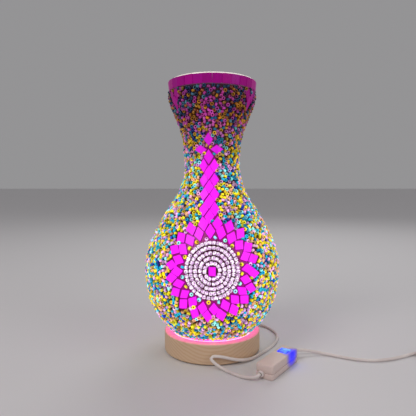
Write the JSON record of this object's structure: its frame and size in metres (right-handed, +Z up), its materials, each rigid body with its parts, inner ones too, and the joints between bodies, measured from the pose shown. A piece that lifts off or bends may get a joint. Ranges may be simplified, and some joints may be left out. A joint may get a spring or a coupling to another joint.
{
  "type": "mosaic glass table lamp",
  "caption": "Bead and tile mosaic glass vase that stands on a lit round wooden base, with a USB lead and an inline push switch.",
  "frame": {"origin": "on the table, under the middle of the wooden base", "axes": "+Z up along the axis of the vase; the front medallion faces -Y"},
  "size_m": [0.3337, 0.1515, 0.2775],
  "materials": {
    "wood": "pale turned wood, clear matt lacquer, fine grain",
    "frosted_acrylic": "frosted acrylic lit from below",
    "white_plastic": "moulded off-white plastic, light satin",
    "circuit_board": "solder-masked board",
    "led_package": "phosphor-coated LED",
    "steel": "plated steel",
    "felt": "dense felt pad",
    "black_plastic": "moulded black plastic",
    "vase_glass": "clear blown glass",
    "magenta_glass": "hand-cut magenta stained glass, lit from inside",
    "bead_mix": "mixed seed beads in clear adhesive",
    "silver_beads": "silver-lined clear seed beads strung in rings",
    "yellow_beads": "yellow glass seed beads",
    "turquoise_beads": "turquoise glass seed beads",
    "aqua_beads": "pale aqua glass seed beads",
    "pink_beads": "lilac-pink lined seed beads",
    "amber_beads": "amber and bronze lined seed beads",
    "blue_beads": "deep blue glass seed beads",
    "adhesive": "tinted tile adhesive between beads and tiles",
    "cord_sheath": "off-white PVC sheath",
    "blue_lens": "translucent push button lit blue from below"
  },
  "bodies": {
    "base": {"base_body": "wood", "diffuser": "frosted_acrylic", "reflector_cup": "white_plastic", "led_board": "circuit_board", "led_1": "led_package", "led_2": "led_package", "led_3": "led_package", "led_4": "led_package", "led_5": "led_package", "led_6": "led_package", "bottom_cover": "black_plastic", "cover_screw_1": "steel", "cover_screw_2": "steel", "cover_screw_3": "steel", "foot_1": "felt", "foot_2": "felt", "foot_3": "felt", "foot_4": "felt", "cord_gland": "cord_sheath", "inner_lead": "cord_sheath", "switch_lower_shell": "white_plastic", "switch_upper_shell": "white_plastic", "switch_board": "circuit_board", "tact_switch": "black_plastic", "indicator_led": "blue_lens", "switch_bush_near": "cord_sheath", "switch_bush_far": "cord_sheath", "cord_to_switch": "cord_sheath", "cord_to_coil": "cord_sheath", "cord_coil": "cord_sheath", "cord_to_plug": "cord_sheath", "cord_tie": "black_plastic", "plug_relief": "cord_sheath", "plug_body": "white_plastic", "plug_shell": "steel", "plug_tongue": "black_plastic"},
    "vase": {"glass_vase": "vase_glass", "bead_field": "bead_mix", "centre_tile_front": "magenta_glass", "bead_disc_front": "silver_beads", "inner_petals_front": "magenta_glass", "outer_petals_front": "magenta_glass", "neck_column_front": "magenta_glass", "centre_tile_right": "magenta_glass", "bead_disc_right": "silver_beads", "inner_petals_right": "magenta_glass", "outer_petals_right": "magenta_glass", "neck_column_right": "magenta_glass", "centre_tile_left": "magenta_glass", "bead_disc_left": "silver_beads", "inner_petals_left": "magenta_glass", "outer_petals_left": "magenta_glass", "neck_column_left": "magenta_glass", "rim_pendant_1": "magenta_glass", "rim_pendant_2": "magenta_glass", "rim_pendant_3": "magenta_glass", "rim_tile_band": "magenta_glass"},
    "button": {"switch_button": "blue_lens"}
  },
  "joints": [
    {"name": "vase_lift", "type": "slide", "parent": "base", "child": "vase", "axis": [0, 0, 1], "range_m": [0, 0.06]},
    {"name": "button_press", "type": "slide", "parent": "base", "child": "button", "axis": [0, 0, -1], "range_m": [0, 0.0008], "stiffness_N_per_m": 300, "springref_m": -0.001}
  ]
}
